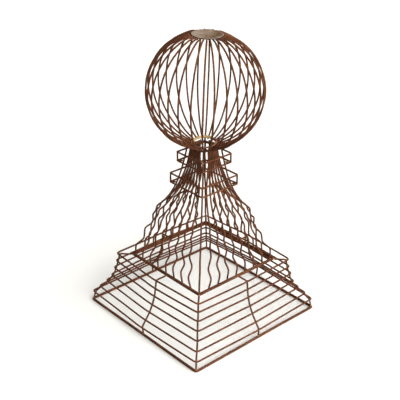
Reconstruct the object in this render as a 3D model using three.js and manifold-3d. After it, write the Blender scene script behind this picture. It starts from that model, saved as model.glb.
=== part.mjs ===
// A finial of rusted wire: a globe of upright wires on a waisted, stepped square shaft,
// which stands on a swept square base of wire hoops. Millimetres, +Z up.
// The base stands on z = 0 with its sides along X and Y, and the shaft rises along the Z axis.
import * as THREE from 'three';
import { mergeVertices } from 'three/addons/utils/BufferGeometryUtils.js';
import Module from 'manifold-3d';

// Gauges: each solid has the square section that holds as much steel as the round wire
const WIRE_DIAMETER = 5.5;
const ROD_DIAMETER = 8.4;
const SQUARED = Math.sqrt(Math.PI) / 2;
const WIRE = WIRE_DIAMETER * SQUARED;
const ROD = ROD_DIAMETER * SQUARED;
const WIRE_REACH = WIRE * Math.SQRT1_2;
const GAP = 0.3;
const TILT_GAP = 4 * GAP;
const CROSSING_GAP = 6 * GAP;

// Base: half width and height of the rod frame and of each hoop, to the middle of the wire
const ROD_HALF = 281;
const ROD_CHAMFER = 5;
const HOOPS = [
  { half: 279.8, height: 39 },
  { half: 263.2, height: 62 },
  { half: 245.1, height: 86 },
  { half: 231.9, height: 111 },
  { half: 224.1, height: 142 },
  { half: 218.5, height: 171 },
  { half: 215, height: 200 },
];
const HOOP_CHAMFER = 7;

// How far the hoops belly out on the +X, +Y, -X and -Y sides,
// and how far past the middle of the same sides their upright ribs stand
const HOOP_BOWS = [7, 12, 7, 12];
const RIB_SHIFTS = [5, 0, 0, 12];
const RIB_CLEARANCE = 0.6;
const RIB_BEND = 5;

// Shelf at the top of the base: the ring under the feet of the shaft, the ring around it
// that the ribs end at, and the ring that lies on top of that one
const SHELF_HEIGHT = 198.2;
const FOOT_RING_HALF = 168.5;
const SEAT_RING_HALF = 175;
const SHELF_RING_HALF = 176.5;
const SEAT_CHAMFER = 2.4;
const FOOT_HEIGHT = SHELF_HEIGHT + WIRE / 2 + TILT_GAP;

// Shaft: distance from the axis and height of each bend, in the corner wires and in the others
const STEPS_TO_CORNER = 4;
const CORNER_BENDS = [
  { half: 167.3, height: FOOT_HEIGHT },
  { half: 167, height: 236 },
  { half: 146, height: 266 },
  { half: 144, height: 300 },
  { half: 123.5, height: 335 },
  { half: 123, height: 359.5 },
  { half: 114.3, height: 375 },
  { half: 113, height: 391 },
];
const FACE_BENDS = [
  { half: 168.5, height: FOOT_HEIGHT },
  { half: 171.5, height: 236 },
  { half: 151, height: 267 },
  { half: 155.5, height: 304 },
  { half: 138, height: 338 },
  { half: 139, height: 361 },
  { half: 127, height: 377 },
  { half: 125, height: 391 },
];

// Collars around the flare: half width and heights of their two rings, to the middle of the wire
const COLLARS = {
  lower_collar: { half: 80.5, bottom: 487.8, top: 520.9 },
  upper_collar: { half: 64, bottom: 567.2, top: 598.7 },
};
const COLLAR_CHAMFER = 2.4;

// Above the last bend the shaft flares in to the neck, with a bend at each of these heights
const NECK_HALF = 38;
const NECK_HEIGHT = 630;
const NECK_TAPER = 35.7;
const FLARE_POWER = 4;
const NECK_RING_HEIGHT = 618;
const FLARE_HEIGHTS = [
  424,
  455,
  COLLARS.lower_collar.bottom,
  COLLARS.upper_collar.bottom,
  NECK_RING_HEIGHT,
];

// Between these heights the wires of each face draw together to a share of their spread
const BUNCH_START = 520;
const BUNCH_END = 620;
const BUNCH_SHARE = 0.7;

// Globe: it leans a little toward the corner between +X and +Y, and is turned a little on the neck
const GLOBE_RADIUS = 192;
const GLOBE_HEIGHT = 816;
const GLOBE_LEAN = THREE.MathUtils.degToRad(1.4);
const GLOBE_TURN = THREE.MathUtils.degToRad(-0.8);
const GLOBE_ARCS = 8;
const GLOBE_RING_RADIUS = 39.5;
const GLOBE_RING_SIDES = 24;
const GLOBE_WIRE_START = 38.5;
const NECK_JOINT_RADIUS = 43;

// Flat disc on top, with the shoulder where the wires level out beneath it
const DISC_RADIUS = 51.3;
const DISC_THICKNESS = 2.5;
const DISC_UNDERSIDE = 999.5;
const DISC_SIDES = 32;
const SHOULDER_RADIUS = 66;
const WIRE_END_RADIUS = 48;

const SIDES = 4;
const QUARTER = Math.PI / 2;
const UP = new THREE.Vector3(0, 0, 1);
const CENTRE = new THREE.Vector2(0, 0);
const CHAMFER_GROWTH = 2 - Math.SQRT2;
const MERGE_DISTANCE = 1e-4;

const RUST = { color: 0x6e4631, roughness: 0.85, metalness: 0.35 };
const BRAZED_RUST = { color: 0x8a6236, roughness: 0.7, metalness: 0.5 };
const DISC_STEEL = { color: 0x8a8177, roughness: 0.75, metalness: 0.5 };

const wasm = await Module();
wasm.setup();

/** A closed geometry as a solid that can be joined to another. */
function solidOf(geometry) {
  geometry.deleteAttribute('normal');
  geometry.deleteAttribute('uv');
  const merged = mergeVertices(geometry, MERGE_DISTANCE);
  return new wasm.Manifold(new wasm.Mesh({
    numProp: 3,
    vertProperties: merged.getAttribute('position').array,
    triVerts: Uint32Array.from(merged.index.array),
  }));
}

/** Pieces brazed into one. */
function brazed(geometries) {
  const whole = geometries.map(solidOf).reduce((sum, solid) => sum.add(solid)).getMesh();
  const joined = new THREE.BufferGeometry();
  joined.setAttribute('position', new THREE.BufferAttribute(whole.vertProperties, 3));
  joined.setIndex(new THREE.BufferAttribute(whole.triVerts, 1));
  return joined;
}

/** Outline of a square with blunted corners, each side bellied out to its middle by its bow. */
function squareOutline(half, chamfer, bows) {
  const outline = [];
  for (let side = 0; side < SIDES; side++) {
    const run = [[half, chamfer - half]];
    if (bows) run.push([half + bows[side], 0]);
    run.push([half, half - chamfer]);
    for (const [out, along] of run) {
      outline.push(new THREE.Vector2(out, along).rotateAround(CENTRE, side * QUARTER));
    }
  }
  return outline;
}

/** Distance from the axis to the blunt corner of a square, along the diagonal. */
function diagonalReach(half, chamfer) {
  return Math.SQRT2 * half - chamfer / Math.SQRT2;
}

/** A level square ring of wire with its middle at a height. */
function squareRing(half, chamfer, height, { thickness = WIRE, bows = null } = {}) {
  const growth = CHAMFER_GROWTH * thickness / 2;
  const outer = squareOutline(half + thickness / 2, chamfer + growth, bows);
  const inner = squareOutline(half - thickness / 2, chamfer - growth, bows);
  const shape = new THREE.Shape(outer);
  shape.holes.push(new THREE.Path(inner));
  const ring = new THREE.ExtrudeGeometry(shape, { depth: thickness, bevelEnabled: false });
  return ring.translate(0, 0, height - thickness / 2);
}

/** The edge of a flat strip, mitred at each bend of the path, on the side that offset gives. */
function stripEdge(path, offset) {
  const normals = path.slice(1).map((point, i) => {
    const along = point.clone().sub(path[i]).normalize();
    return new THREE.Vector2(-along.y, along.x);
  });
  return path.map((point, i) => {
    const before = normals[Math.max(i - 1, 0)];
    const after = normals[Math.min(i, normals.length - 1)];
    const mitre = before.clone().add(after).divideScalar(1 + before.dot(after));
    return point.clone().addScaledVector(mitre, offset);
  });
}

/** A rib bent in one upright plane, from its path of distance from the axis and height. */
function rib(path, shift, turn) {
  const outline = [...stripEdge(path, WIRE / 2), ...stripEdge(path, -WIRE / 2).reverse()];
  const strip = new THREE.ExtrudeGeometry(new THREE.Shape(outline), { depth: WIRE, bevelEnabled: false });
  return strip.translate(0, 0, -WIRE / 2).rotateX(QUARTER).translate(0, shift, 0).rotateZ(turn);
}

/** Path of a rib that stands on the rod, follows the hoops inside, and bends in along the shelf. */
function ribPath(rodReach, hoopReaches, seatReach) {
  const touched = [new THREE.Vector2(rodReach, ROD / 2)];
  hoopReaches.forEach((reach, i) => touched.push(new THREE.Vector2(reach, HOOPS[i].height)));
  const path = [new THREE.Vector2(rodReach, ROD + TILT_GAP)];
  for (let i = 1; i < touched.length - 1; i++) {
    const slope = touched[i + 1].clone().sub(touched[i - 1]).normalize();
    const outward = new THREE.Vector2(slope.y, -slope.x);
    const hoopDepth = WIRE / 2 * (Math.abs(outward.x) + Math.abs(outward.y));
    path.push(touched[i].clone().addScaledVector(outward, -hoopDepth - WIRE / 2 - RIB_CLEARANCE));
  }
  const topReach = touched.at(-1).x - WIRE - RIB_CLEARANCE;
  path.push(new THREE.Vector2(topReach, SHELF_HEIGHT - RIB_BEND));
  path.push(new THREE.Vector2(topReach - RIB_BEND, SHELF_HEIGHT));
  path.push(new THREE.Vector2(seatReach + GAP, SHELF_HEIGHT));
  return path;
}

/** The rib in the corner that follows a side. */
function cornerRib(side) {
  const hoopReaches = HOOPS.map(({ half }) => diagonalReach(half, HOOP_CHAMFER));
  const seatReach = diagonalReach(SEAT_RING_HALF, SEAT_CHAMFER) + WIRE / 2;
  const path = ribPath(diagonalReach(ROD_HALF, ROD_CHAMFER), hoopReaches, seatReach);
  return rib(path, 0, (side + 0.5) * QUARTER);
}

/** The rib near the middle of a side. */
function sideRib(side) {
  const shift = RIB_SHIFTS[side];
  const hoopReaches = HOOPS.map(({ half }) => half + HOOP_BOWS[side] * (1 - shift / (half - HOOP_CHAMFER)));
  const path = ribPath(ROD_HALF, hoopReaches, SEAT_RING_HALF + WIRE / 2);
  return rib(path, shift, side * QUARTER);
}

/** A wire's centre line through its bends, each section turned halfway between its neighbours. */
class BentWire extends THREE.Curve {
  constructor(bends) {
    super();
    this.bends = bends;
  }

  getPointAt(fraction) {
    return this.bends[Math.round(fraction * (this.bends.length - 1))].clone();
  }

  getTangentAt(fraction) {
    const last = this.bends.length - 1;
    const i = Math.round(fraction * last);
    const tangent = new THREE.Vector3();
    if (i > 0) tangent.add(this.bends[i].clone().sub(this.bends[i - 1]).normalize());
    if (i < last) tangent.add(this.bends[i + 1].clone().sub(this.bends[i]).normalize());
    return tangent.normalize();
  }
}

/** A square-section wire through its bends. */
function bentWire(bends) {
  const section = new THREE.Shape();
  section.moveTo(-WIRE / 2, -WIRE / 2);
  section.lineTo(WIRE / 2, -WIRE / 2);
  section.lineTo(WIRE / 2, WIRE / 2);
  section.lineTo(-WIRE / 2, WIRE / 2);
  return new THREE.ExtrudeGeometry(section, { steps: bends.length - 1, extrudePath: new BentWire(bends) });
}

/** Distance of the flare from the axis at a height, from the bend where it starts. */
function flare(start, height) {
  const below = (NECK_HEIGHT - height) / (NECK_HEIGHT - start.height);
  const sweep = start.half - NECK_HALF - NECK_TAPER;
  return NECK_HALF + NECK_TAPER * below + sweep * below ** FLARE_POWER;
}

/** Half the width that the wires of one face share at a height: an even taper, the flare, the bunch. */
function faceHalf(height) {
  const foot = FACE_BENDS[0];
  const waist = CORNER_BENDS.at(-1);
  if (height <= waist.height) {
    return THREE.MathUtils.mapLinear(height, foot.height, waist.height, foot.half, waist.half);
  }
  const bunched = THREE.MathUtils.smoothstep(height, BUNCH_START, BUNCH_END);
  return flare(waist, height) * THREE.MathUtils.lerp(1, BUNCH_SHARE, bunched);
}

/** Bends of one shaft wire from its foot to the neck; spread is -1 at the corner and 0 mid-face. */
function shaftBends(side, spread) {
  const atCorner = spread === -1;
  const bends = atCorner ? CORNER_BENDS : FACE_BENDS;
  const flared = FLARE_HEIGHTS.map((height) => ({ half: flare(bends.at(-1), height), height }));
  return [...bends, ...flared].map(({ half, height }) => {
    const along = spread * (atCorner ? half : faceHalf(height));
    return new THREE.Vector3(half, along, height).applyAxisAngle(UP, side * QUARTER);
  });
}

/** Puts a shape or point that is upright about the globe's centre into its leaning place. */
const leaning = new THREE.Matrix4()
  .makeRotationAxis(new THREE.Vector3(-1, 1, 0).normalize(), GLOBE_LEAN)
  .setPosition(0, 0, GLOBE_HEIGHT);

/** Bends of one globe wire from the neck to the disc; the second one is where the shaft meets it. */
function globeBends(azimuth, jointRadius) {
  const start = Math.asin(GLOBE_WIRE_START / GLOBE_RADIUS);
  const joint = Math.asin(jointRadius / GLOBE_RADIUS);
  const shoulder = Math.PI - Math.asin(SHOULDER_RADIUS / GLOBE_RADIUS);
  const angles = [start];
  for (let i = 0; i <= GLOBE_ARCS; i++) angles.push(THREE.MathUtils.lerp(joint, shoulder, i / GLOBE_ARCS));
  const profile = angles.map((angle) => [GLOBE_RADIUS * Math.sin(angle), -GLOBE_RADIUS * Math.cos(angle)]);
  profile.push([WIRE_END_RADIUS, DISC_UNDERSIDE - GLOBE_HEIGHT - GAP - WIRE_REACH]);
  return profile.map(([radius, height]) => {
    const bend = new THREE.Vector3(radius * Math.cos(azimuth), radius * Math.sin(azimuth), height);
    return bend.applyMatrix4(leaning);
  });
}

/** Bends of a shaft wire and of the globe wire that starts at its top. */
function cageBends(side, step) {
  const spread = step / STEPS_TO_CORNER;
  const shaft = shaftBends(side, spread);
  const neck = shaft.at(-1);
  const jointRadius = Math.max(Math.hypot(neck.x, neck.y), NECK_JOINT_RADIUS);
  const globe = globeBends((side + spread / 2) * QUARTER + GLOBE_TURN, jointRadius);
  return { shaft, globe };
}

/** A shaft wire brazed to its globe wire. */
function cageWire({ shaft, globe }) {
  return brazed([bentWire([...shaft, globe[1]]), bentWire(globe)]);
}

/** A shaft wire by itself, which ends just clear of its globe wire. */
function shaftWire({ shaft, globe }) {
  const neck = shaft.at(-1);
  const clearance = 2 * WIRE_REACH + GAP;
  const end = globe[1].clone().lerp(neck, clearance / globe[1].distanceTo(neck));
  return bentWire([...shaft, end]);
}

/** Two square rings held apart by corner posts, with struts in to the shaft's corner wires. */
function collar({ half, bottom, top }) {
  const frame = [
    squareRing(half, COLLAR_CHAMFER, bottom),
    squareRing(half, COLLAR_CHAMFER, top),
  ];
  const corner = diagonalReach(half, COLLAR_CHAMFER);
  const wireReach = Math.SQRT2 * flare(CORNER_BENDS.at(-1), bottom) + WIRE_REACH + CROSSING_GAP;
  for (let side = 0; side < SIDES; side++) {
    const turn = (side + 0.5) * QUARTER;
    const post = new THREE.BoxGeometry(WIRE, WIRE, top - bottom);
    frame.push(post.translate(corner, 0, (top + bottom) / 2).rotateZ(turn));
    const strut = new THREE.BoxGeometry(corner - wireReach, WIRE, WIRE);
    frame.push(strut.translate((corner + wireReach) / 2, 0, bottom).rotateZ(turn));
  }
  return brazed(frame);
}

/** The square ring inside the neck, just clear of the wires around it. */
function neckRing() {
  const half = flare(CORNER_BENDS.at(-1), NECK_RING_HEIGHT) - WIRE_REACH - CROSSING_GAP - WIRE / 2;
  return squareRing(half, COLLAR_CHAMFER, NECK_RING_HEIGHT);
}

/** The round ring that lies on the globe wires' lower ends. */
function globeRing() {
  const inner = GLOBE_RING_RADIUS - WIRE / 2;
  const outer = GLOBE_RING_RADIUS + WIRE / 2;
  const bottom = -Math.sqrt(GLOBE_RADIUS ** 2 - outer ** 2) + WIRE_REACH + CROSSING_GAP;
  const top = bottom + WIRE;
  const section = [[inner, bottom], [outer, bottom], [outer, top], [inner, top], [inner, bottom]];
  const profile = section.map(([radius, height]) => new THREE.Vector2(radius, height));
  return new THREE.LatheGeometry(profile, GLOBE_RING_SIDES).rotateX(QUARTER).applyMatrix4(leaning);
}

/** The flat disc on the globe wires' upper ends. */
function topDisc() {
  const disc = new THREE.CylinderGeometry(DISC_RADIUS, DISC_RADIUS, DISC_THICKNESS, DISC_SIDES);
  const middle = DISC_UNDERSIDE - GLOBE_HEIGHT + DISC_THICKNESS / 2;
  return disc.rotateX(QUARTER).translate(0, 0, middle).applyMatrix4(leaning);
}

const finial = new THREE.Group();

/** Adds a piece to the finial under its own name and finish. */
function add(name, geometry, finish = RUST) {
  const piece = new THREE.Mesh(geometry, new THREE.MeshStandardMaterial(finish));
  piece.name = name;
  finial.add(piece);
}

add('base_rod', squareRing(ROD_HALF, ROD_CHAMFER, ROD / 2, { thickness: ROD }));
HOOPS.forEach(({ half, height }, i) => {
  add(`base_hoop_${i + 1}`, squareRing(half, HOOP_CHAMFER, height, { bows: HOOP_BOWS }));
});
for (let side = 0; side < SIDES; side++) {
  add(`corner_rib_${side + 1}`, cornerRib(side));
  add(`side_rib_${side + 1}`, sideRib(side));
}
add('foot_ring', squareRing(FOOT_RING_HALF, SEAT_CHAMFER, SHELF_HEIGHT));
add('seat_ring', squareRing(SEAT_RING_HALF, SEAT_CHAMFER, SHELF_HEIGHT));
add('shelf_ring', squareRing(SHELF_RING_HALF, SEAT_CHAMFER, SHELF_HEIGHT + WIRE + GAP));
for (let side = 0; side < SIDES; side++) {
  for (let step = -STEPS_TO_CORNER; step < STEPS_TO_CORNER; step++) {
    const number = String(side * 2 * STEPS_TO_CORNER + step + STEPS_TO_CORNER + 1).padStart(2, '0');
    const bends = cageBends(side, step);
    if (step === -STEPS_TO_CORNER) {
      add(`corner_wire_${number}`, shaftWire(bends));
      add(`globe_wire_${number}`, bentWire(bends.globe));
    } else {
      add(`cage_wire_${number}`, cageWire(bends));
    }
  }
}
for (const [name, sizes] of Object.entries(COLLARS)) add(name, collar(sizes));
add('neck_ring', neckRing());
add('globe_ring', globeRing(), BRAZED_RUST);
add('top_disc', topDisc(), DISC_STEEL);

export default finial;
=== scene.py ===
# %% [markdown]
# # A finial of rusted wire
# The real object is a roof or garden finial made only of bent steel wire: a swept square base of hoops, a
# stepped shaft that narrows to a neck, and a globe of upright wires under a small disc. This lesson puts
# round, hand-bent wires in the place of the plain solids of the frame, and gives them rust and braze.

import bpy
import numpy as np
from mathutils import Matrix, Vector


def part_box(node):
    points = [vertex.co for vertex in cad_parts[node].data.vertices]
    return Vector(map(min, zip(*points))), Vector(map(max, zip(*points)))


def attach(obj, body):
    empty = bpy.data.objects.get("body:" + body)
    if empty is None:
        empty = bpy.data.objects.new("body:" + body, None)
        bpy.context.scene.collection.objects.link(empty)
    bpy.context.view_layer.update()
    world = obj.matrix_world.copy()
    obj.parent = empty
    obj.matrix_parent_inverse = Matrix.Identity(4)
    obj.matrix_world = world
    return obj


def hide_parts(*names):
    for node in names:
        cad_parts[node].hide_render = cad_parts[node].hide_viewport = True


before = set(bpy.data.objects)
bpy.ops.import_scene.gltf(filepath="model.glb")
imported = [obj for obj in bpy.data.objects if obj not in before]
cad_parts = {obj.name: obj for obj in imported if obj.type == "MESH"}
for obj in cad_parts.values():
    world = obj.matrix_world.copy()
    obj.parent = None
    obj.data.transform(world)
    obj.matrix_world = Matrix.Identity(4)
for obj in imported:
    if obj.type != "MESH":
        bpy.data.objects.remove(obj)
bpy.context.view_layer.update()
# Sizes are in millimetres, and MM turns them into the scene's metres
MM = 0.001
TURN = 2 * np.pi
UP = np.array([0.0, 0.0, 1.0])
SEED = 7
rng = np.random.default_rng(SEED)

# %% [markdown]
# ## Camera
# The picture was taken from a little above one corner of the base. A camera can be aimed by hand, but a
# measured one is surer: its place and angles come from matching the corners of the hoops, the shelf and the
# collars to a pinhole camera, so that the render can be laid over the picture.

# %% Camera at the picture's viewing angle
PICTURE_SIDE = 400
FOCAL_PIXELS = 866.0
SENSOR_WIDTH = 36.0
FAR_VIEW = 100_000.0
CAMERA_PLACE = np.array([1925.9, -1781.9, 1768.5])
CAMERA_AZIMUTH, CAMERA_ELEVATION, CAMERA_ROLL = np.radians([47.48, 27.17, 0.76])


def camera_axes(azimuth, elevation, roll):
    """Right, up and back directions of a camera that looks from an azimuth and elevation, then rolled."""
    outward = np.array([np.sin(azimuth), -np.cos(azimuth), 0.0])
    back = outward * np.cos(elevation) + UP * np.sin(elevation)
    right = np.array([np.cos(azimuth), np.sin(azimuth), 0.0])
    up = np.cross(back, right)
    return np.stack([
        np.cos(roll) * right + np.sin(roll) * up,
        np.cos(roll) * up - np.sin(roll) * right,
        back,
    ])


camera = bpy.data.objects.new("camera", bpy.data.cameras.new("camera"))
camera.data.sensor_width = SENSOR_WIDTH
camera.data.lens = FOCAL_PIXELS / PICTURE_SIDE * SENSOR_WIDTH
camera.data.clip_end = FAR_VIEW * MM
camera_turn = Matrix(camera_axes(CAMERA_AZIMUTH, CAMERA_ELEVATION, CAMERA_ROLL).T.tolist()).to_4x4()
camera.matrix_world = Matrix.Translation(CAMERA_PLACE * MM) @ camera_turn
bpy.context.scene.collection.objects.link(camera)
bpy.context.scene.camera = camera
print("lens", round(camera.data.lens, 2), "mm")

# %% [markdown]
# ## Finishes
# Three finishes cover the object. The wire is mild steel left to rust, the joints are brazed with brass,
# and the disc is a weathered steel blank. Each is built from noise at real sizes, so that the same rust
# covers every wire without a seam and no picture is needed.

# %% Colours and one way to add a node
def linear(hex_colour):
    """An sRGB hex colour as the linear red, green, blue and alpha that shaders work in."""
    srgb = np.array([int(hex_colour[i:i + 2], 16) for i in (1, 3, 5)]) / 255
    low, high = srgb / 12.92, ((srgb + 0.055) / 1.055) ** 2.4
    return (*np.where(srgb <= 0.04045, low, high), 1.0)


def add_node(tree, kind, inputs=None, stops=None, **settings):
    """One shader node: settings are its properties, inputs the values or links of its sockets.

    Stops are the places and colours of a ramp.
    """
    node = tree.nodes.new(kind)
    for name, value in settings.items():
        setattr(node, name, value)
    for name, value in (inputs or {}).items():
        if isinstance(value, bpy.types.NodeSocket):
            tree.links.new(value, node.inputs[name])
        else:
            node.inputs[name].default_value = value
    for number, (place, colour) in enumerate(stops or ()):
        elements = node.color_ramp.elements
        element = elements[number] if number < len(elements) else elements.new(place)
        element.position, element.color = place, linear(colour)
    return node


def per_metre(millimetres):
    """Noise scale for a pattern whose patches are that many millimetres wide."""
    return 1 / (millimetres * MM)


def new_finish(name):
    """A material with its node tree, its shader and the object's own coordinates."""
    finish = bpy.data.materials.new(name)
    finish.use_nodes = True
    place = add_node(finish.node_tree, "ShaderNodeTexCoord").outputs["Object"]
    return finish, finish.node_tree, finish.node_tree.nodes["Principled BSDF"], place


# Numbers of a Mix node's colour sockets, which share their names with its other sockets
MIX_A, MIX_B, MIX_COLOUR = 6, 7, 2
print("rust brown in linear light", np.round(linear("#6d4229")[:3], 3))

# %% Rusted steel wire: dry red-brown with darker scale, paler dust and a fine grit
PATCH_WIDTH, STAIN_WIDTH = 16, 85
# Real rust is finer grained: the grit is drawn as coarse as it needs to show
GRIT_WIDTH, GRIT_DEPTH = 1.8, 0.3
rusted_steel_wire, tree, shader, place = new_finish("rusted_steel_wire")
patches = add_node(tree, "ShaderNodeTexNoise", {
    "Vector": place, "Scale": per_metre(PATCH_WIDTH), "Detail": 5.0, "Roughness": 0.62})
stains = add_node(tree, "ShaderNodeTexNoise", {
    "Vector": place, "Scale": per_metre(STAIN_WIDTH), "Detail": 3.0, "Roughness": 0.55})
grit = add_node(tree, "ShaderNodeTexNoise", {
    "Vector": place, "Scale": per_metre(GRIT_WIDTH), "Detail": 3.0, "Roughness": 0.6})
rust = add_node(tree, "ShaderNodeValToRGB", {"Fac": patches.outputs["Fac"]}, stops=[
    (0.30, "#55311d"), (0.46, "#613a24"), (0.58, "#6d4229"), (0.72, "#815332")])
stain = add_node(tree, "ShaderNodeValToRGB", {"Fac": stains.outputs["Fac"]}, stops=[
    (0.36, "#d2c5bb"), (0.62, "#ffffff")])
colour = add_node(tree, "ShaderNodeMix", {
    "Factor": 1.0, MIX_A: rust.outputs["Color"], MIX_B: stain.outputs["Color"],
}, data_type="RGBA", blend_type="MULTIPLY")
dryness = add_node(tree, "ShaderNodeMapRange", {
    "Value": patches.outputs["Fac"], "To Min": 0.68, "To Max": 0.95})
scale_crust = add_node(tree, "ShaderNodeBump", {
    "Height": grit.outputs["Fac"], "Strength": 0.35, "Distance": GRIT_DEPTH * MM})
tree.links.new(colour.outputs[MIX_COLOUR], shader.inputs["Base Color"])
tree.links.new(dryness.outputs["Result"], shader.inputs["Roughness"])
tree.links.new(scale_crust.outputs["Normal"], shader.inputs["Normal"])
shader.inputs["Specular IOR Level"].default_value = 0.15
print("finish", rusted_steel_wire.name, "patches", PATCH_WIDTH, "mm, grit", GRIT_WIDTH, "mm")

# %% Brass braze: warm yellow metal where it is bare, brown where rust has crept over it
BARE_LIFT = 0.45
CREEP_WIDTH = 11
RIPPLE_WIDTH, RIPPLE_DEPTH = 2.5, 0.3
brass_braze, tree, shader, place = new_finish("brass_braze")
creep = add_node(tree, "ShaderNodeTexNoise", {
    "Vector": place, "Scale": per_metre(CREEP_WIDTH), "Detail": 4.0, "Roughness": 0.6})
ripple = add_node(tree, "ShaderNodeTexNoise", {
    "Vector": place, "Scale": per_metre(RIPPLE_WIDTH), "Detail": 2.0, "Roughness": 0.5})
kept_bare = add_node(tree, "ShaderNodeAttribute", attribute_name="bare")
cover = add_node(tree, "ShaderNodeMath", {
    0: kept_bare.outputs["Fac"], 1: BARE_LIFT, 2: creep.outputs["Fac"]}, operation="MULTIPLY_ADD")
brass = add_node(tree, "ShaderNodeValToRGB", {"Fac": cover.outputs["Value"]}, stops=[
    (0.35, "#4d2e1d"), (0.60, "#7a4f31"), (0.80, "#a97f48"), (0.95, "#c8a569")])
shine = add_node(tree, "ShaderNodeMapRange", {
    "Value": cover.outputs["Value"], "From Min": 0.65, "From Max": 0.95, "To Max": 0.4})
dulled = add_node(tree, "ShaderNodeMapRange", {
    "Value": cover.outputs["Value"], "To Min": 0.9, "To Max": 0.4})
flow = add_node(tree, "ShaderNodeBump", {
    "Height": ripple.outputs["Fac"], "Strength": 0.4, "Distance": RIPPLE_DEPTH * MM})
tree.links.new(brass.outputs["Color"], shader.inputs["Base Color"])
tree.links.new(shine.outputs["Result"], shader.inputs["Metallic"])
tree.links.new(dulled.outputs["Result"], shader.inputs["Roughness"])
tree.links.new(flow.outputs["Normal"], shader.inputs["Normal"])
print("finish", brass_braze.name, "rust patches", CREEP_WIDTH, "mm")

# %% Weathered sheet steel: grey-tan with brown bloom, a pale upper rim that is partly wear and partly painted highlight, and painted shadow on the lower edge
BLOOM_WIDTH = 32
PIT_WIDTH, PIT_DEPTH = 2.2, 0.2
# Gain of the browning number, which also carries the painted shadow of the lower edge
BROWN_AND_SHADE_GAIN = -0.11
weathered_sheet_steel, tree, shader, place = new_finish("weathered_sheet_steel")
bloom = add_node(tree, "ShaderNodeTexNoise", {
    "Vector": place, "Scale": per_metre(BLOOM_WIDTH), "Detail": 7.0, "Roughness": 0.7})
pits = add_node(tree, "ShaderNodeTexNoise", {
    "Vector": place, "Scale": per_metre(PIT_WIDTH), "Detail": 3.0, "Roughness": 0.6})
side = add_node(tree, "ShaderNodeAttribute", attribute_name="browning_and_edge_shadow")
browning_and_shadow = add_node(tree, "ShaderNodeMath", {
    0: side.outputs["Fac"], 1: BROWN_AND_SHADE_GAIN, 2: bloom.outputs["Fac"]}, operation="MULTIPLY_ADD")
# The darkest stop is reached only on the lower edge, where it is painted shadow
sheet = add_node(tree, "ShaderNodeValToRGB", {"Fac": browning_and_shadow.outputs["Value"]}, stops=[
    (0.12, "#20140b"), (0.32, "#513620"), (0.44, "#775a40"), (0.54, "#8a7560"), (0.68, "#a08d7b")])
edge = add_node(tree, "ShaderNodeAttribute", attribute_name="rim")
# Pale rim colour on the upper edge: partly wear, partly painted highlight
worn_and_highlit_rim = add_node(tree, "ShaderNodeMix", {
    "Factor": edge.outputs["Fac"], MIX_A: sheet.outputs["Color"], MIX_B: linear("#99897a"),
}, data_type="RGBA")
haze = add_node(tree, "ShaderNodeMapRange", {
    "Value": bloom.outputs["Fac"], "To Min": 0.75, "To Max": 0.5})
pitting = add_node(tree, "ShaderNodeBump", {
    "Height": pits.outputs["Fac"], "Strength": 0.35, "Distance": PIT_DEPTH * MM})
tree.links.new(worn_and_highlit_rim.outputs[MIX_COLOUR], shader.inputs["Base Color"])
tree.links.new(haze.outputs["Result"], shader.inputs["Roughness"])
tree.links.new(pitting.outputs["Normal"], shader.inputs["Normal"])
shader.inputs["Metallic"].default_value = 0.2
print("finish", weathered_sheet_steel.name, "bloom", BLOOM_WIDTH, "mm")

# %% [markdown]
# ## How a wire is made
# A curve with a bevel would give a round wire at once, but its points can't be worked on as arrays. Here a
# wire is a circle carried along a path: every point of the path gets the same ring of points around it, and
# the rings are joined by quads. The path itself is bent like the real wire, first to plain corners and then
# softened, because a hand bends wire round a small radius and never quite to a point.

# %% Paths: even steps, softened corners, a hand's sway
# Half the side of a square with the area of a circle of radius one
SQUARED = np.sqrt(np.pi) / 2
FINE_STEP = 2.0
THINNING = 2
BELL_REACH = 3


def node_box(node):
    """Lowest and highest corner of a solid of the frame, in mm."""
    return [np.array(corner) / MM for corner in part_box(node)]


def half_height(node):
    """Half the height of a level solid."""
    lowest, highest = node_box(node)
    return (highest[2] - lowest[2]) / 2


CAD_WIRE_HALF, CAD_ROD_HALF = half_height("base_hoop_1"), half_height("base_rod")
WIRE_RADIUS, ROD_RADIUS = CAD_WIRE_HALF / SQUARED, CAD_ROD_HALF / SQUARED
RUST_CRUST = 0.3


def unit(vectors):
    """Vectors shortened or lengthened to one."""
    return vectors / np.linalg.norm(vectors, axis=-1, keepdims=True)


def spaced(points, step, closed=False):
    """Even steps along a polyline: each coordinate is read off at even lengths of the summed distance."""
    points = np.vstack([points, points[:1]]) if closed else np.asarray(points, float)
    length = np.concatenate([[0], np.cumsum(np.linalg.norm(np.diff(points, axis=0), axis=1))])
    count = max(int(round(length[-1] / step)), 2)
    at = np.linspace(0, length[-1], count + 1)[:count + (not closed)]
    return np.stack([np.interp(at, length, coordinate) for coordinate in points.T], 1)


def softened(path, reach, closed=False):
    """Each point becomes the mean of its neighbours under a bell curve of that reach; open ends stay."""
    step = np.linalg.norm(path[1] - path[0])
    width = min(int(np.ceil(BELL_REACH * reach / step)), len(path) - 1)
    bell = np.exp(-0.5 * (np.arange(-width, width + 1) * step / reach) ** 2)
    pads = {"mode": "wrap"} if closed else {"mode": "reflect", "reflect_type": "odd"}
    padded = np.pad(path, ((width, width), (0, 0)), **pads)
    return np.stack([np.convolve(coordinate, bell / bell.sum(), "valid") for coordinate in padded.T], 1)


def sway(count, cycles, size):
    """Wander in x, y and z: the size times the mean of one sine for each number of cycles.

    The phases are drawn.
    """
    phase = rng.random((len(cycles), 1, 3))
    along = np.arange(count)[None, :, None] / count
    return size * np.sin(TURN * (np.array(cycles)[:, None, None] * along + phase)).mean(0)


print("wire", round(2 * WIRE_RADIUS, 2), "mm, rod", round(2 * ROD_RADIUS, 2), "mm, crust", RUST_CRUST, "mm")

# %% Skins: a circle carried along a path
WIRE_SIDES = 10
END_ROUNDING = 0.6


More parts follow.
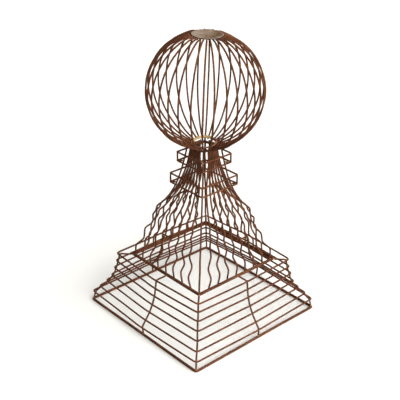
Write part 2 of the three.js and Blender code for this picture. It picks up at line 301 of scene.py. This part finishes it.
def tube_faces(rings, sides, closed):
    """Quads between each ring and the next, round all sides; a closed wire's last ring meets its first."""
    ring, side = np.meshgrid(np.arange(rings - (not closed)), np.arange(sides), indexing="ij")
    ahead, beside = (ring + 1) % rings, (side + 1) % sides
    corners = [ring * sides + side, ring * sides + beside, ahead * sides + beside, ahead * sides + side]
    return np.stack(corners, -1).reshape(-1, 4).tolist()


def round_wire(path, across, radius=WIRE_RADIUS, closed=False):
    """Skin of a wire: point + radius (n cos a + b sin a).

    n is the across direction made square to the path, and b is tangent x n.
    """
    if closed:
        tangent = unit(np.roll(path, -1, 0) - np.roll(path, 1, 0))
    else:
        tangent = unit(np.gradient(path, axis=0))
    across = np.broadcast_to(np.asarray(across, float), path.shape)
    normal = unit(across - (across * tangent).sum(1, keepdims=True) * tangent)
    binormal = np.cross(tangent, normal)
    angle = TURN * np.arange(WIRE_SIDES) / WIRE_SIDES
    circle = normal[:, None] * np.cos(angle)[:, None] + binormal[:, None] * np.sin(angle)[:, None]
    radii = np.full(len(path), radius)
    if not closed:
        radii[[0, -1]] *= END_ROUNDING
    points = (path[:, None] + (radii[:, None, None] + RUST_CRUST) * circle).reshape(-1, 3)
    faces = tube_faces(len(path), WIRE_SIDES, closed)
    if not closed:
        last = len(points) - WIRE_SIDES
        faces += [list(range(WIRE_SIDES))[::-1], list(range(last, last + WIRE_SIDES))]
    return points, faces


def joined(skins):
    """Several skins as one: points stacked, and face numbers moved on by the points before them."""
    before = np.cumsum([0] + [len(points) for points, _ in skins])
    faces = [
        [corner + start for corner in face]
        for start, (_, skin) in zip(before, skins)
        for face in skin
    ]
    return np.vstack([points for points, _ in skins]), faces


def add_piece(name, skins, finish, slot, *nodes):
    """Makes a mesh of the skins in metres, rides it on the finial and lets it stand for its nodes."""
    points, faces = joined(skins)
    mesh = bpy.data.meshes.new(name)
    mesh.from_pydata((points * MM).tolist(), [], faces)
    mesh.shade_smooth()
    mesh.materials.append(finish)
    piece = bpy.data.objects.new(name, mesh)
    bpy.context.scene.collection.objects.link(piece)
    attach(piece, "root")
    if nodes:
        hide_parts(*nodes)
    return piece


print("a wire has", WIRE_SIDES, "sides, and a ring about every", THINNING * FINE_STEP, "mm")

# %% [markdown]
# ## Rod frame and hoops of the base
# The base stands on a square of heavier rod, and seven square hoops of wire rise from it, each smaller than
# the one below. Their sides belly out to a soft kink at the middle. Reading each hoop's size from the frame
# keeps it where the solid is; only its round corners, its kinks and its sway are added.

# %% Rod frame and hoops
HOOP_COUNT = 7
SIDE_COUNT = 4
HOOP_BOWS = np.array([7.0, 12.0, 7.0, 12.0])
HOOP_SOFTNESS = 8.5
ROD_SOFTNESS = 6.5
HOOP_SWAY = 0.9
SQUARE_CYCLES = 2, 3, 5, 7


def about_axis(points, turns):
    """Points turned about the upright axis by a number of turns."""
    cos, sin = np.cos(TURN * turns), np.sin(TURN * turns)
    return points @ np.array([[cos, sin, 0.0], [-sin, cos, 0.0], [0.0, 0.0, 1.0]])


def square_path(half, height, bows, softness, swing):
    """A level square of that half width, its sides pushed out by the bows, then softened and swayed."""
    corners = [[[half, -half, height], [half + bow, 0.0, height]] for bow in bows]
    plain = np.vstack([about_axis(np.array(run), side / SIDE_COUNT) for side, run in enumerate(corners)])
    path = softened(spaced(plain, FINE_STEP, closed=True), softness, closed=True)[::THINNING]
    return path + sway(len(path), SQUARE_CYCLES, swing)


def read_square(node, bow, cad_half):
    """Half width and height of the middle of a square ring, from its node's box in the frame."""
    lowest, highest = node_box(node)
    return highest[0] - cad_half - bow, (lowest[2] + highest[2]) / 2


NO_BOWS = np.zeros(SIDE_COUNT)
rod_half, _ = read_square("base_rod", 0.0, CAD_ROD_HALF)
rod_height = ROD_RADIUS + RUST_CRUST
rod_path = square_path(rod_half, 0.0, NO_BOWS, ROD_SOFTNESS, HOOP_SWAY) * [1, 1, 0] + UP * rod_height
add_piece("rod_frame", [round_wire(rod_path, UP, ROD_RADIUS, closed=True)],
          rusted_steel_wire, "rusted_wire", "base_rod")
hoops = [read_square(f"base_hoop_{n + 1}", HOOP_BOWS[0], CAD_WIRE_HALF) for n in range(HOOP_COUNT)]
for number, (half, height) in enumerate(hoops, 1):
    path = square_path(half, height, HOOP_BOWS, HOOP_SOFTNESS, HOOP_SWAY)
    add_piece(f"hoop_{number}", [round_wire(path, UP, closed=True)],
              rusted_steel_wire, "rusted_wire", f"base_hoop_{number}")
print("hoops, half width and height in mm:", np.round(hoops, 1).tolist())

# %% [markdown]
# ## Ribs
# Eight upright wires tie the hoops together from inside, one in each corner and one near the middle of each
# side. Each follows the sweep of the hoops, then bends in level at the top and carries the shelf. Their
# paths could be drawn by eye, but here they are worked out from the hoops that they touch, moved in by one
# wire's thickness, so that no rib misses a hoop.

# %% Paths of corner ribs and side ribs
# How far each side's rib stands beside the middle of its side
RIB_SHIFTS = np.array([5.0, 0.0, 0.0, 12.0])
# A bell curve cuts a square corner by this share of its reach
CORNER_SHARE = 0.564
CORNER_CUT = CORNER_SHARE * HOOP_SOFTNESS
RIB_SOFTNESS = 5.0
seat_half, seat_height = read_square("seat_ring", 0.0, CAD_WIRE_HALF)
hoop_halves, hoop_heights = np.array(hoops).T


def rib_path(rod_reach, hoop_reaches, seat_reach):
    """Distance out and height of a rib, and of the places where it touches the rod, hoops and seat.

    It follows the hoops' middles moved in, square to the sweep, and then goes in along the shelf.
    """
    touched = np.column_stack([np.append(rod_reach, hoop_reaches), np.append(rod_height, hoop_heights)])
    along = unit(np.gradient(touched, axis=0))
    inside = touched + 2 * WIRE_RADIUS * np.column_stack([-along[:, 1], along[:, 0]])
    foot = [rod_reach, 2 * rod_height]
    top = inside[-1, 0]
    plain = np.vstack([foot, inside[1:-1], [top, seat_height], [seat_reach, seat_height]])
    touches = np.vstack([foot, (inside + touched)[1:] / 2, [seat_reach, seat_height]])
    return softened(spaced(plain, FINE_STEP), RIB_SOFTNESS)[::THINNING], touches


ribs = {}
for side in range(SIDE_COUNT):
    shift, bow = RIB_SHIFTS[side], HOOP_BOWS[side]
    corner_rib = rib_path(
        np.sqrt(2) * rod_half - CORNER_CUT,
        np.sqrt(2) * hoop_halves - CORNER_CUT,
        np.sqrt(2) * seat_half + WIRE_RADIUS / 2)
    side_rib = rib_path(rod_half, hoop_halves + bow * (1 - shift / hoop_halves), seat_half + WIRE_RADIUS)
    ribs[f"corner_rib_{side + 1}"] = corner_rib, 0.0, (side + 0.5) / SIDE_COUNT
    ribs[f"side_rib_{side + 1}"] = side_rib, shift, side / SIDE_COUNT
print("ribs:", len(ribs), "with a shelf at", round(seat_height, 1), "mm")

# %% Ribs in the corners and at the sides
RIB_CYCLES = 1, 2, 3


def upright(profile, shift, turns):
    """A profile of distance and height, set beside the axis by a shift and turned to face its side."""
    points = np.column_stack([profile[:, 0], np.full(len(profile), shift), profile[:, 1]])
    return about_axis(points, turns)


def held_sway(path, cycles, size):
    """A path with its sway, which fades to nothing at both held ends as half a sine does."""
    fade = np.sin(np.linspace(0, np.pi, len(path)))[:, None]
    return path + sway(len(path), cycles, size) * fade


rib_touches = {}
for node, ((profile, touches), shift, turns) in ribs.items():
    across = about_axis(np.array([[0.0, 1.0, 0.0]]), turns)[0]
    path = held_sway(upright(profile, shift, turns), RIB_CYCLES, HOOP_SWAY)
    add_piece(node.replace("_rib", "_stay"), [round_wire(path, across)],
              rusted_steel_wire, "rusted_wire", node)
    rib_touches[node] = upright(touches, shift, turns)
print("the last rib has", len(path), "rings")

# %% [markdown]
# ## Seat of the shaft
# Three square rings make the seat: one under the feet of the shaft's wires, one around it that the ribs end
# at, and one on top of that. Seen together they are the thick dark line at the top of the base. One thick
# bar would look much the same from afar, but three wires keep the fine gaps between them.

# %% Foot ring, seat ring and shelf ring
SEAT_RINGS = {"foot_ring": "seat_under_feet", "seat_ring": "seat_around", "shelf_ring": "seat_on_top"}
SEAT_SOFTNESS = 2.6
SEAT_SWAY = 0.5
for node, name in SEAT_RINGS.items():
    half, height = read_square(node, 0.0, CAD_WIRE_HALF)
    path = square_path(half, height, NO_BOWS, SEAT_SOFTNESS, SEAT_SWAY)
    add_piece(name, [round_wire(path, UP, closed=True)], rusted_steel_wire, "rusted_wire", node)
    print(name, "half width", round(half, 1), "at", round(height, 1), "mm")

# %% [markdown]
# ## Shaft and globe
# Thirty-two wires stand on the seat. Each waves in and out in three soft steps and sweeps in to the neck.
# The four in the corners meet a globe wire there, and the others end in a bunch on each face, under the
# ring that the globe's thirty-two wires start at. Those arch up to the disc, each as an arc of a circle. The
# waves could be drawn as a spline by hand; here they are cubic pieces through the measured bends that are
# level at each turn, so that no bend moves.

# %% Bends of the shaft and a curve through them
STEPS_TO_CORNER = 4
FOOT_HEIGHT = seat_height + WIRE_RADIUS
# Half width and height of each bend
CORNER_BENDS = np.array([
    [167.3, FOOT_HEIGHT], [167, 236], [146, 266], [144, 300],
    [123.5, 335], [123, 359.5], [114.3, 375], [113, 391]])
FACE_BENDS = np.array([
    [168.5, FOOT_HEIGHT], [171.5, 236], [151, 267], [155.5, 304],
    [138, 338], [139, 361], [127, 377], [125, 391]])
NECK_HALF, NECK_HEIGHT, NECK_TAPER, FLARE_POWER = 38.0, 630.0, 35.7, 4
FLARE_START, FLARE_END, FLARE_STEPS = 415, 622, 9
FLARE_KNOTS = np.linspace(FLARE_START, FLARE_END, FLARE_STEPS)
# Heights between which the bunches form, and the share of its width that each face's bunch keeps
BUNCH_START, BUNCH_END = 480.0, 595.0
BUNCH_SHARES = [0.62, 0.62, 0.62, 0.8]
SHAFT_SOFTNESS = 4.0


def flare(start, height):
    """Half width of the sweep to the neck: neck + taper x + the rest x^4, x the share still to climb."""
    below = (NECK_HEIGHT - height) / (NECK_HEIGHT - start[1])
    return NECK_HALF + NECK_TAPER * below + (start[0] - NECK_HALF - NECK_TAPER) * below ** FLARE_POWER


def through_bends(bends, heights):
    """Cubic pieces through the bends.

    The slope at a bend is the harmonic mean of the slopes beside it, or 0 where the curve turns.
    """
    half, height = bends.T
    rise = np.diff(height)
    slope = np.diff(half) / rise
    before, after = slope[:-1], slope[1:]
    same_way = before * after > 0
    inner = np.where(same_way, 2 * before * after / np.where(same_way, before + after, 1.0), 0.0)
    at_bend = np.concatenate([slope[:1], inner, slope[-1:]])
    piece = np.clip(np.searchsorted(height, heights) - 1, 0, len(rise) - 1)
    t = (heights - height[piece]) / rise[piece]
    return ((1 + 2 * t) * (1 - t) ** 2 * half[piece] + t ** 2 * (3 - 2 * t) * half[piece + 1]
            + rise[piece] * (t * (1 - t) ** 2 * at_bend[piece] - t ** 2 * (1 - t) * at_bend[piece + 1]))


def face_half(heights, share):
    """Half width that a face's wires spread over: an even taper, and then the flare.

    The flare is eased to the face's share of it by 3t^2 - 2t^3.
    """
    taper = np.interp(heights, [FOOT_HEIGHT, CORNER_BENDS[-1, 1]], [FACE_BENDS[0, 0], CORNER_BENDS[-1, 0]])
    t = np.clip((heights - BUNCH_START) / (BUNCH_END - BUNCH_START), 0, 1)
    bunched = 1 - (1 - share) * t ** 2 * (3 - 2 * t)
    return np.where(heights > CORNER_BENDS[-1, 1], flare(CORNER_BENDS[-1], heights) * bunched, taper)


print("shaft from", round(FOOT_HEIGHT, 1), "to", NECK_HEIGHT, "mm,", len(FACE_BENDS), "bends and a sweep")

# %% Globe: arcs that lean a little, from the globe ring to under the disc
GLOBE_RADIUS, GLOBE_HEIGHT = 192.0, 816.0
GLOBE_LEAN, GLOBE_TURN = np.radians([1.4, -0.4])
CROWDING, CROWDED_SIDE = np.radians([0.5, 45])
GLOBE_START = 38.5
SHORTENING, RAISED_SIDE = 8.0, np.radians(140)
DISC_UNDERSIDE = 999.5
SHOULDER_RADIUS, WIRE_END_RADIUS = 66.0, 48.0
SHOULDER_SOFTNESS = 6.0
ARC_STEPS = 120
LEAN_AXIS = np.array([-1.0, 1.0, 0.0]) / np.sqrt(2)


def leaning(points):
    """Points about the globe's middle, tipped by the lean about a level axis and raised to its height.

    Below the middle they are drawn back over the neck, by the square of their depth.
    """
    along = (points @ LEAN_AXIS)[:, None] * LEAN_AXIS
    aside = np.cross(LEAN_AXIS, points)
    tipped = along + (points - along) * np.cos(GLOBE_LEAN) + aside * np.sin(GLOBE_LEAN)
    depth = np.clip(-points[:, 2:] / GLOBE_RADIUS, 0, 1)
    drawn_back = depth ** 2 * GLOBE_RADIUS * np.sin(GLOBE_LEAN) * np.cross(LEAN_AXIS, UP)
    return tipped + drawn_back + UP * GLOBE_HEIGHT


def globe_path(azimuth, radius):
    """An arc of a circle upright at the azimuth, with a level end at the disc, softened at its shoulder.

    Where the globe ring is raised, the arc starts further out, so that it ends at the ring.
    """
    shortened = SHORTENING * max(np.cos(azimuth - RAISED_SIDE), 0.0)
    start = np.arcsin((GLOBE_START + shortened) / radius)
    shoulder = np.pi - np.arcsin(SHOULDER_RADIUS / radius)
    angle = np.linspace(start, shoulder, ARC_STEPS)
    out = np.append(radius * np.sin(angle), WIRE_END_RADIUS)
    height = np.append(-radius * np.cos(angle), DISC_UNDERSIDE - WIRE_RADIUS - RUST_CRUST - GLOBE_HEIGHT)
    arc = np.column_stack([out * np.cos(azimuth), out * np.sin(azimuth), height])
    return leaning(softened(spaced(arc, FINE_STEP), SHOULDER_SOFTNESS)[::THINNING])


lowest = leaning(np.array([[GLOBE_START, 0.0, -np.sqrt(GLOBE_RADIUS ** 2 - GLOBE_START ** 2)]]))[0]
print("the lowest globe wires start at", np.round(lowest, 1), "mm")

# %% Thirty-two shaft wires with their globe wires
BEND_HEIGHT_SCATTER = 1.6
BEND_HALF_SCATTER = 0.8
AZIMUTH_SCATTER = np.radians(0.5)
GLOBE_SCATTER = 0.9
GLOBE_SWAY, GLOBE_CYCLES = 1.0, (1, 2, 3)
SHAFT_SWAY, SHAFT_CYCLES = 0.7, (2, 3, 4)
BUNCH_RISE = 5.0
# Rings of a globe wire that the corner wire may meet, and the ring just outside the disc's rim, whose rusted
# drop of braze is partly a real joint and partly painted shade, a dark lump where the rim's shadow falls
NEAR_NECK, AT_RIM = 40, -3


def shaft_path(side, spread):
    """One shaft wire: out by its curve of bends, sideways by its share of the face's half width."""
    in_corner = spread == -1
    bends = CORNER_BENDS if in_corner else FACE_BENDS
    knots = np.vstack([bends, np.column_stack([flare(bends[-1], FLARE_KNOTS), FLARE_KNOTS])])
    scatter = rng.normal(size=(len(bends) - 1, 2)) * [BEND_HALF_SCATTER, BEND_HEIGHT_SCATTER]
    knots[1:len(bends)] += scatter
    heights = np.arange(FOOT_HEIGHT, FLARE_KNOTS[-1], FINE_STEP)
    out = through_bends(knots, heights)
    along = spread * (out if in_corner else face_half(heights, BUNCH_SHARES[side]))
    return about_axis(np.column_stack([out, along, heights]), side / SIDE_COUNT)


wire_count = 0
cage_touches = []
for side in range(SIDE_COUNT):
    for step in range(-STEPS_TO_CORNER, STEPS_TO_CORNER):
        wire_count += 1
        spread = step / STEPS_TO_CORNER
        quarter = side + spread / 2
        azimuth = TURN * quarter / SIDE_COUNT
        azimuth += CROWDING * np.sin(CROWDED_SIDE - azimuth) + GLOBE_TURN + rng.normal() * AZIMUTH_SCATTER
        globe = globe_path(azimuth, GLOBE_RADIUS + rng.normal() * GLOBE_SCATTER)
        globe = held_sway(globe, GLOBE_CYCLES, GLOBE_SWAY)
        shaft = held_sway(shaft_path(side, spread), SHAFT_CYCLES, SHAFT_SWAY)
        beyond = np.hypot(*globe[:NEAR_NECK, :2].T) - np.hypot(*shaft[-1, :2])
        meeting = globe[np.argmin(np.abs(beyond))]
        top = meeting if spread == -1 else shaft[-1] + UP * BUNCH_RISE
        shaft = softened(spaced(np.vstack([shaft, top]), FINE_STEP), SHAFT_SOFTNESS)[::THINNING]
        sideways = about_axis(np.array([[0.0, 1.0, 0.0]]), side / SIDE_COUNT)[0]
        level = np.array([-np.sin(azimuth), np.cos(azimuth), 0.0])
        nodes = ["corner_wire", "globe_wire"] if spread == -1 else ["cage_wire"]
        add_piece(f"cage_{wire_count:02d}", [round_wire(shaft, sideways), round_wire(globe, level)],
                  rusted_steel_wire, "rusted_wire", *(f"{node}_{wire_count:02d}" for node in nodes))
        # The drop at the disc's rim is also painted shade: a dark lump standing in for the shadow under the
        # rim
        cage_touches += [shaft[0], shaft[-1], globe[AT_RIM]]
print(wire_count, "shaft wires with their globe wires,", len(shaft), "and", len(globe), "rings in the last")

# %% [markdown]
# ## Collars and neck
# Two collars hold the sweep of the shaft: each is a pair of square wire rings with a post in every corner
# and a short strut in to the shaft. Plain boxes would be quicker, but the square path that made the hoops
# gives these rings their softened corners too. Inside the neck a small square ring, and above it a round
# one, tie the wires. The round one was brazed all along one side and has kept its brass there, so each of
# its points takes a number that its finish reads.

# %% Collars
# Half width of each collar, and the heights of its two rings
COLLARS = {"lower_collar": (80.5, 487.8, 520.9), "upper_collar": (64.0, 567.2, 598.7)}
COLLAR_SOFTNESS = 2.6
COLLAR_SWAY = 0.4


def straight(start, end, across):
    """A short straight wire between two points."""
    return round_wire(spaced(np.array([start, end]), FINE_STEP), across)


collar_touches, struts = [], {}
for node, (half, bottom, top) in COLLARS.items():
    parts = [round_wire(square_path(half, height, NO_BOWS, COLLAR_SOFTNESS, COLLAR_SWAY), UP, closed=True)
             for height in (bottom, top)]
    inner = flare(CORNER_BENDS[-1], bottom) + WIRE_RADIUS
    for side in range(SIDE_COUNT):
        out = about_axis(np.array([[1.0, 1.0, 0.0]]), side / SIDE_COUNT)[0]
        corner = half - COLLAR_SOFTNESS / 2
        parts.append(straight(out * corner + UP * bottom, out * corner + UP * top, out))
        struts[node, side] = out * corner + UP * bottom, out * inner + UP * bottom
        parts.append(straight(*struts[node, side], UP))
        collar_touches += [*struts[node, side], out * corner + UP * top]
    add_piece(node.replace("_collar", "_waist_frame"), parts, rusted_steel_wire, "rusted_wire", node)
    print(node, "half width", half, "from", bottom, "to", top)

# %% Neck ring and globe ring
GLOBE_RING_RADIUS = 39.5
RING_STEPS = 80
RING_TILT = np.radians(6)
BARE_SIDE, BARE_GAIN, BARE_BASE = np.radians(170), 1.5, 0.3
BRAZE_RUN = 1.2
# How much wider and higher than its solid the neck ring lies, to touch the wires
NECK_REACH, NECK_RISE = 1.7, 2.8


def set_values(piece, name, values):
    """A number for each point of a piece, for its finish to read."""
    piece.data.attributes.new(name, "FLOAT", "POINT").data.foreach_set("value", np.float32(values))


half, height = read_square("neck_ring", 0.0, CAD_WIRE_HALF)
path = square_path(half + NECK_REACH, height + NECK_RISE, NO_BOWS, COLLAR_SOFTNESS, COLLAR_SWAY)
add_piece("neck_square", [round_wire(path, UP, closed=True)], rusted_steel_wire, "rusted_wire", "neck_ring")
ring_middle = np.mean(node_box("globe_ring"), 0) - [0, 0, GLOBE_HEIGHT]
angle = TURN * np.arange(RING_STEPS) / RING_STEPS
circle = GLOBE_RING_RADIUS * np.column_stack([np.cos(angle), np.sin(angle), 0 * angle])
circle[:, 2] += np.tan(RING_TILT) * circle[:, 1]
bare = np.clip(BARE_GAIN * np.cos(angle - BARE_SIDE) + BARE_BASE, 0, 1)
path = leaning(circle + ring_middle * UP)
ring = add_piece("globe_round_ring", [round_wire(path, UP, WIRE_RADIUS + BRAZE_RUN * bare, closed=True)],
                 brass_braze, "brazed_ring", "globe_ring")
set_values(ring, "bare", np.repeat(bare, WIRE_SIDES))
print("neck ring half width", round(half + NECK_REACH, 1), "globe ring radius", GLOBE_RING_RADIUS)

# %% [markdown]
# ## Braze
# Wires that touch are held by a drop of brass melted into the joint. Most drops have rusted over, but the
# brass still shows at two corners of the base, on the collars, at the neck, on one rib and at the butt
# joints of some hoops. Each drop is a small ball with a few dozen faces, half sunk in the wires, so that
# hundreds cost little.

# %% A lathe for the drops and the disc
def turned(profile, sides):
    """A lathe: each radius and height of the profile is carried round the axis.

    The profile's two ends lie on the axis and become single points.
    """
    angle = TURN * np.arange(sides) / sides
    rings = profile[1:-1]
    radius, height = rings[:, :1], np.repeat(rings[:, 1:], sides, 1)
    points = np.stack([radius * np.cos(angle), radius * np.sin(angle), height], -1).reshape(-1, 3)
    poles = [[0, 0, profile[0, 1]], [0, 0, profile[-1, 1]]]
    side, beside = np.arange(sides), (np.arange(sides) + 1) % sides
    last = (len(rings) - 1) * sides
    bottom, top = len(points), len(points) + 1
    fans = np.vstack([
        np.column_stack([np.full(sides, bottom), beside, side]),
        np.column_stack([np.full(sides, top), last + side, last + beside])])
    return np.vstack([points, poles]), tube_faces(len(rings), sides, False) + fans.tolist()


DROP_SIDES, DROP_RINGS = 8, 6
tilt = np.linspace(-np.pi / 2, np.pi / 2, DROP_RINGS)
BALL, BALL_FACES = turned(np.column_stack([np.cos(tilt), np.sin(tilt)]), DROP_SIDES)
print("a drop has", len(BALL_FACES), "faces")

# %% Drops of braze at the joints
DROP_SIZE, DROP_LUMPS = 1.15, 0.08
# How bare a rusted drop may be, and how much barer one is where its brass shows
RUSTED_OVER, BRIGHT = 0.35, 0.6
# On the +X side, joints this near the corners' planes or between these heights have kept their brass
CORNER_BAND = 14.0
NECK_BAND = 605.0, 640.0
# Hoop, side and distance along it of each butt joint that shows
BUTT_JOINTS = [(2, 3, 41.0), (5, 0, 37.0), (6, 0, 17.0)]
BUTT_LENGTH, BUTT_DROPS = 9.0, 4
BARE_STRUT, BARE_RIB, RUN_DROPS = ("upper_collar", 0), "side_rib_4", 5


def butt_joint(hoop, side, along):
    """Places of a few drops along a hoop, centred at a distance from the middle of a side."""
    half, height = hoops[hoop - 1]
    shift = along + np.linspace(-BUTT_LENGTH, BUTT_LENGTH, BUTT_DROPS) / 2
    out = half + HOOP_BOWS[side] * (1 - np.abs(shift) / half)
    return about_axis(np.column_stack([out, shift, np.full(BUTT_DROPS, height)]), side / SIDE_COUNT)


def drops(places):
    """A ball at each place, a little wider than the wire, its points pushed in or out by drawn shares."""
    lumps = 1 + DROP_LUMPS * rng.normal(size=(len(places), len(BALL), 1))
    size = WIRE_RADIUS * DROP_SIZE * lumps
    return [(points, BALL_FACES) for points in places[:, None] + size * BALL]


joints = np.vstack([*rib_touches.values(), cage_touches, collar_touches])
on_rib = (joints[:, None] == rib_touches[BARE_RIB]).all(2).any(1)
at_corner = np.abs(joints[:, 0] - np.abs(joints[:, 1])) < CORNER_BAND
at_neck = (joints[:, 2] > NECK_BAND[0]) & (joints[:, 2] < NECK_BAND[1])
kept = on_rib | (joints[:, 0] > 0) & (at_corner | at_neck)
strut = np.linspace(*struts[BARE_STRUT], RUN_DROPS)
runs = np.vstack([strut] + [butt_joint(*place) for place in BUTT_JOINTS])
bare = np.append(rng.random(len(joints)) * RUSTED_OVER + BRIGHT * kept, np.ones(len(runs)))
skins = drops(np.vstack([joints, runs]))
braze = add_piece("braze_drops", skins, brass_braze, "brazed_ring")
set_values(braze, "bare", np.repeat(bare, len(BALL)))
print(len(joints), "joints,", kept.sum(), "of them bright, and", len(runs), "drops in runs")

# %% [markdown]
# ## Disc
# The globe wires end under a flat round blank of sheet steel, a little dented and not quite level. A
# cylinder would do, but a turned profile gives the rounded edge with its small lip below, and lets the
# whole sheet be dented by a formula. Two numbers for each point tell its finish where the upper rim is pale,
# partly from wear and partly as painted highlight, and where the sheet is browner, with painted shadow on
# the lower edge.

# %% Disc on top
DISC_RADIUS, DISC_THICKNESS, LIP = 51.3, 2.5, 1.6
FLAT_RADIUS, FLAT_STEPS = 48.0, 13
DISC_SIDES, EDGE_STEPS = 72, 7
DENT, DENT_WIDTHS, DENT_SHIFT, DENT_SINK = 0.5, (17.0, 14.0), 1.0, 0.5
# The edge is pale above this share of the half thickness, partly wear and partly painted highlight, and
# below it is darkened by this much as painted shadow
PALE_FROM, EDGE_SHADOW = 0.7, 4.0
edge_angle = np.linspace(-np.pi / 2, np.pi / 2, EDGE_STEPS)
edge_radius = DISC_RADIUS - DISC_THICKNESS / 2 * (1 - np.cos(edge_angle))
edge_half = np.where(edge_angle < 0, DISC_THICKNESS / 2 + LIP, DISC_THICKNESS / 2)
edge = np.column_stack([edge_radius, edge_half * np.sin(edge_angle)])
steps = np.linspace(0, FLAT_RADIUS, FLAT_STEPS)
flat = np.column_stack([steps, np.full(FLAT_STEPS, DISC_THICKNESS / 2)])
points, faces = turned(np.vstack([flat * [1, -1], edge, flat[::-1]]), DISC_SIDES)
at_edge = np.hypot(points[:, 0], points[:, 1]) > DISC_RADIUS - DISC_THICKNESS
# The upper part of the edge gets the pale rim (wear and painted highlight), the rest of the edge painted
# shadow
upper_edge = points[:, 2] > PALE_FROM * DISC_THICKNESS / 2
# The dents are their depth times (sin (x + shift) cos y - sink), with x and y counted in dent widths
wave = np.sin(points[:, 0] / DENT_WIDTHS[0] + DENT_SHIFT) * np.cos(points[:, 1] / DENT_WIDTHS[1])
points[:, 2] += DENT * (wave - DENT_SINK)
disc_middle = DISC_UNDERSIDE + DISC_THICKNESS / 2 - GLOBE_HEIGHT
disc = add_piece("top_blank", [(leaning(points + [0, 0, disc_middle]), faces)],
                 weathered_sheet_steel, "top_plate", "top_disc")
set_values(disc, "rim", at_edge & upper_edge)
browning_and_edge_shadow = (points[:, 0] + points[:, 1]) / (np.sqrt(2) * DISC_RADIUS)
# Browner towards +X+Y, with painted shadow added on the lower edge
set_values(disc, "browning_and_edge_shadow", browning_and_edge_shadow + EDGE_SHADOW * (at_edge & ~upper_edge))
print("disc", 2 * DISC_RADIUS, "mm across,", len(faces), "faces")

# %% [markdown]
# ## Floor and light
# The picture is a studio one: a white floor, one broad light low on the right that leaves the wires of the
# left faces darker, and a weaker one overhead. Area lamps are the usual choice, but suns with a wide disc
# give that light everywhere alike, so that the floor stays white to the picture's edge. The floor throws no
# light back, which would wash the wires out.

# %% Floor and world
FLOOR_REACH = 80_000.0
FLOOR_CORNERS = FLOOR_REACH * MM * np.array([[-1, -1, 0], [1, -1, 0], [1, 1, 0], [-1, 1, 0]])
WORLD_STRENGTH = 0.15
floor_mesh = bpy.data.meshes.new("floor")
floor_mesh.from_pydata(FLOOR_CORNERS.tolist(), [], [(0, 1, 2, 3)])
floor = bpy.data.objects.new("floor", floor_mesh)
floor.visible_diffuse = False
bpy.context.scene.collection.objects.link(floor)
pale_floor, _, shader, _ = new_finish("pale_floor")
shader.inputs["Base Color"].default_value = linear("#fbfaf4")
shader.inputs["Roughness"].default_value = 1.0
shader.inputs["Specular IOR Level"].default_value = 0.0
floor_mesh.materials.append(pale_floor)

world = bpy.data.worlds.new("soft_studio")
world.use_nodes = True
background = world.node_tree.nodes["Background"]
background.inputs["Color"].default_value = linear("#ffffff")
background.inputs["Strength"].default_value = WORLD_STRENGTH
bpy.context.scene.world = world
bpy.context.scene.view_settings.view_transform = "Standard"
print("floor reaches", FLOOR_REACH * MM, "m, world strength", WORLD_STRENGTH)

# %% Lights
# Direction to each light, its strength and its width in degrees
SUNS = {"key": ([1.0, 0.12, 0.36], 6.8, 100), "overhead": ([0.2, 0.3, 1.0], 0.9, 140)}
for name, (direction, strength, width) in SUNS.items():
    lamp = bpy.data.lights.new(name, "SUN")
    lamp.energy, lamp.angle = strength, np.radians(width)
    sun = bpy.data.objects.new(name, lamp)
    back = unit(np.array(direction))
    right = unit(np.cross(UP, back))
    sun.matrix_world = Matrix(np.stack([right, np.cross(back, right), back], 1).tolist()).to_4x4()
    bpy.context.scene.collection.objects.link(sun)
    print(name, "sun", round(float(np.degrees(np.arcsin(back[2])))), "degrees above the floor")
